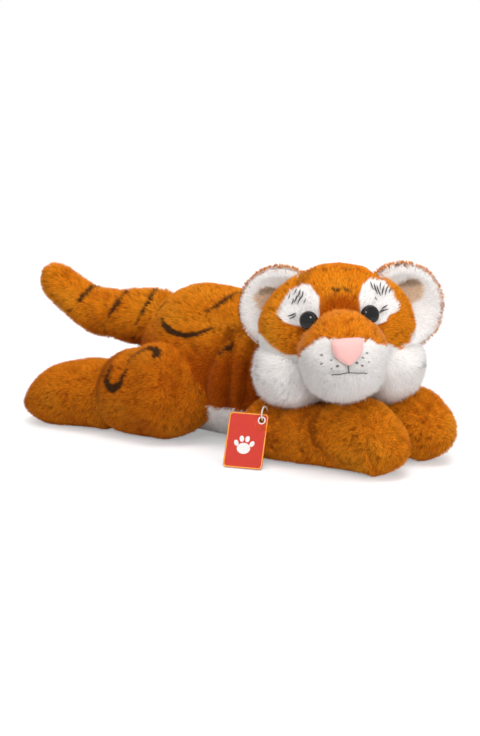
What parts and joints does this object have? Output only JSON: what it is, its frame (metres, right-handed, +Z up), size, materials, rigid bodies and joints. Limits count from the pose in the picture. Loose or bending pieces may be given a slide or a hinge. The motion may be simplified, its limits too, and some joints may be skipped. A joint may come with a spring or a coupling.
{
  "type": "plush tiger",
  "caption": "Plush tiger lying on its belly with stretched legs, the head turned to one side, a tail lifted at its tip, safety eyes and a swing tag.",
  "frame": {"origin": "where the belly rests on the floor, in the body's middle plane", "axes": "+Z up, +X the way the body points from rump to chest, +Y the tiger's left"},
  "size_m": [0.4248, 0.2226, 0.167],
  "materials": {
    "orange_plush": "long pile",
    "white_plush": "long pile",
    "pink_velvet": "short velvet",
    "eye_black": "polished",
    "washer": "moulded",
    "red_card": "coated",
    "white_cord": "braided"
  },
  "bodies": {
    "torso": {"torso": "orange_plush", "belly_panel": "white_plush"},
    "neck": {"neck": "orange_plush"},
    "head": {"head": "orange_plush", "cheek_l": "white_plush", "cheek_r": "white_plush", "muzzle": "white_plush", "nose": "pink_velvet", "eye_l": "eye_black", "eye_r": "eye_black", "eye_washer_l": "washer", "eye_washer_r": "washer", "ear_l": "orange_plush", "ear_r": "orange_plush", "ear_lining_l": "white_plush", "ear_lining_r": "white_plush"},
    "arm_l": {"arm_l": "orange_plush"},
    "paw_l": {"paw_l": "orange_plush"},
    "arm_r": {"arm_r": "orange_plush", "tag_loop": "white_cord"},
    "paw_r": {"paw_r": "orange_plush"},
    "thigh_l": {"thigh_l": "orange_plush"},
    "foot_l": {"foot_l": "orange_plush"},
    "thigh_r": {"thigh_r": "orange_plush"},
    "foot_r": {"foot_r": "orange_plush"},
    "tail_root": {"tail_root": "orange_plush"},
    "tail_tip": {"tail_tip": "orange_plush"},
    "tag": {"hang_tag": "red_card"}
  },
  "joints": [
    {"name": "head_turn", "type": "hinge", "parent": "torso", "child": "neck", "pos_m": [0.0905, 0.011, 0.09], "axis": [0, 0, 1], "range_deg": [0, 40]},
    {"name": "head_nod", "type": "hinge", "parent": "neck", "child": "head", "pos_m": [0.0905, 0.011, 0.09], "axis": [0.7826, 0.6225, 0], "range_deg": [-12, 0]},
    {"name": "arm_splay_l", "type": "hinge", "parent": "torso", "child": "arm_l", "pos_m": [0.059, 0.0335, -0.0005], "axis": [0, 0, 1], "range_deg": [0, 14]},
    {"name": "paw_turn_l", "type": "hinge", "parent": "arm_l", "child": "paw_l", "pos_m": [0.16153, 0.02334, -0.0005], "axis": [0, 0, 1], "range_deg": [-4, 10]},
    {"name": "arm_splay_r", "type": "hinge", "parent": "torso", "child": "arm_r", "pos_m": [0.05, -0.038, -0.0005], "axis": [0, 0, 1], "range_deg": [-14, 0]},
    {"name": "paw_turn_r", "type": "hinge", "parent": "arm_r", "child": "paw_r", "pos_m": [0.15295, -0.0422, -0.0005], "axis": [0, 0, 1], "range_deg": [-10, 4]},
    {"name": "leg_splay_l", "type": "hinge", "parent": "torso", "child": "thigh_l", "pos_m": [-0.014, 0.037, -0.0005], "axis": [0, 0, 1], "range_deg": [-14, 0]},
    {"name": "foot_turn_l", "type": "hinge", "parent": "thigh_l", "child": "foot_l", "pos_m": [-0.07423, 0.06799, -0.0005], "axis": [0, 0, 1], "range_deg": [-12, 6]},
    {"name": "leg_splay_r", "type": "hinge", "parent": "torso", "child": "thigh_r", "pos_m": [-0.014, -0.037, -0.0005], "axis": [0, 0, 1], "range_deg": [0, 14]},
    {"name": "foot_turn_r", "type": "hinge", "parent": "thigh_r", "child": "foot_r", "pos_m": [-0.0802, -0.05134, -0.0005], "axis": [0, 0, 1], "range_deg": [-6, 12]},
    {"name": "tail_swing", "type": "hinge", "parent": "torso", "child": "tail_root", "pos_m": [-0.07, 0, 0.096], "axis": [0, 0, 1], "range_deg": [-12, 12]},
    {"name": "tail_bend", "type": "hinge", "parent": "tail_root", "child": "tail_tip", "pos_m": [-0.12656, -0.00204, 0.0953], "axis": [0, 1, 0], "range_deg": [-14, 14]},
    {"name": "tag_swing", "type": "hinge", "parent": "arm_r", "child": "tag", "pos_m": [0.07499, -0.07224, 0.03931], "axis": [0.9563, 0.2924, 0], "range_deg": [-30, 0]}
  ]
}
